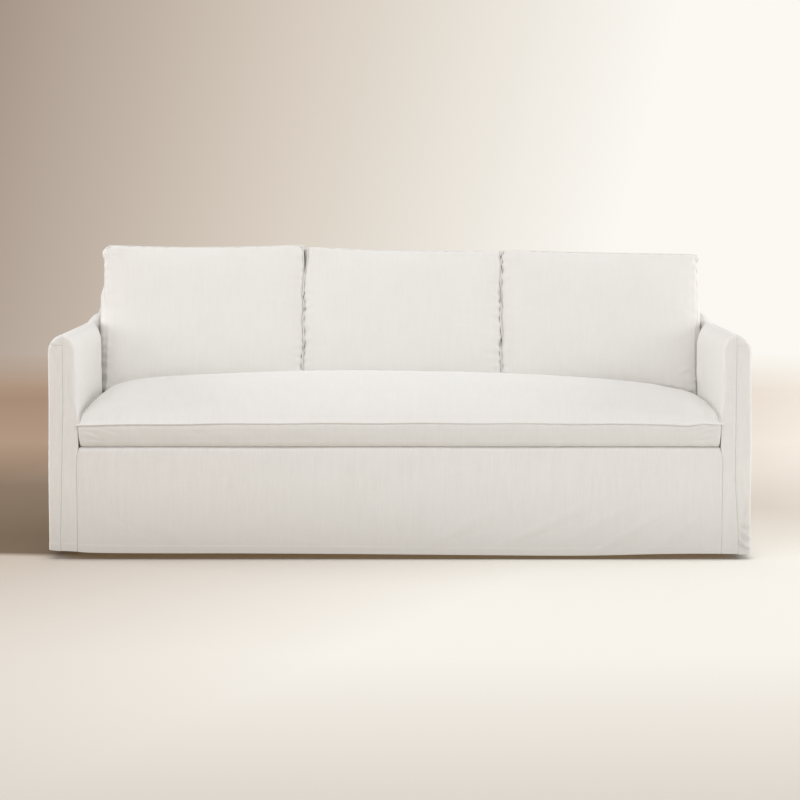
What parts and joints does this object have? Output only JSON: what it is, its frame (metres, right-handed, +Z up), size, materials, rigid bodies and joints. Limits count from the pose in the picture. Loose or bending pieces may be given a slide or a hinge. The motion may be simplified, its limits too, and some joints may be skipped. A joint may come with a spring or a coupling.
{
  "type": "sofa slipcover",
  "caption": "Fitted off-white linen cover for a long sofa with slim upright arms, sewn from separate panels, with its bench seat cushion and leaning back cushions.",
  "frame": {"origin": "On the level of the hem, at the middle of the cover's width and depth", "axes": "+X to the right as seen from the front, along the sofa's length; +Y from the front to the back; +Z up"},
  "size_m": [2.13, 0.9863, 0.9221],
  "materials": {
    "linen": "matte"
  },
  "bodies": {
    "root": {"front_apron": "linen", "deck": "linen", "inside_back": "linen", "back_boxing": "linen", "outside_back": "linen", "arm_facing_left": "linen", "arm_facing_right": "linen", "arm_outer_left": "linen", "arm_outer_right": "linen", "arm_top_left": "linen", "arm_top_right": "linen", "arm_inner_left": "linen", "arm_inner_right": "linen", "seat_cushion": "linen", "back_cushion_left": "linen", "back_cushion_middle": "linen", "back_cushion_right": "linen"}
  },
  "joints": []
}
